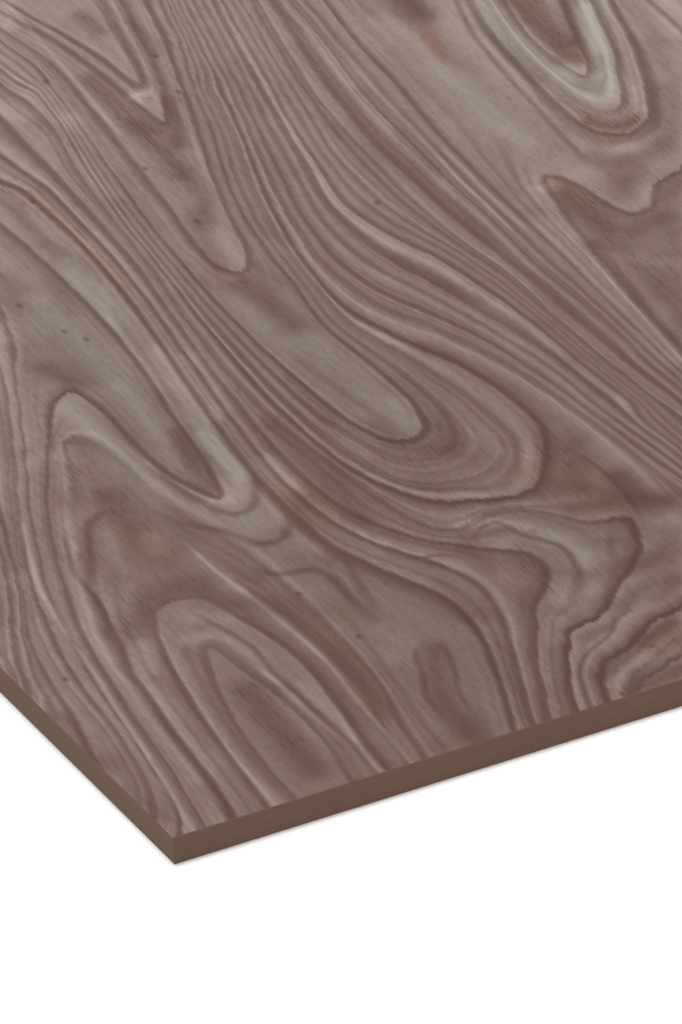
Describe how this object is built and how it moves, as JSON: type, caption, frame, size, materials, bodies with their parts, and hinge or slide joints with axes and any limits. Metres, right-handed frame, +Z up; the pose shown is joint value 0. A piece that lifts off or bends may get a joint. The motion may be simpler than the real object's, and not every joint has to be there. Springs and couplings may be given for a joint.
{
  "type": "wood veneer sheet",
  "caption": "Flat rectangular sheet of wood veneer stock with flowing crown-cut figure on its face and plain brown edges, for facing furniture and panels.",
  "frame": {"origin": "middle of the back face, which lies on the floor", "axes": "+X along the grain and the sheet's length, +Y across the grain, +Z up out of the show face"},
  "size_m": [0.6, 0.3, 0.006],
  "materials": {
    "veneer": "matt sanded wood, grey-brown growth rings on both faces and plain dark brown edges"
  },
  "bodies": {
    "root": {"veneer_sheet": "veneer"}
  },
  "joints": []
}
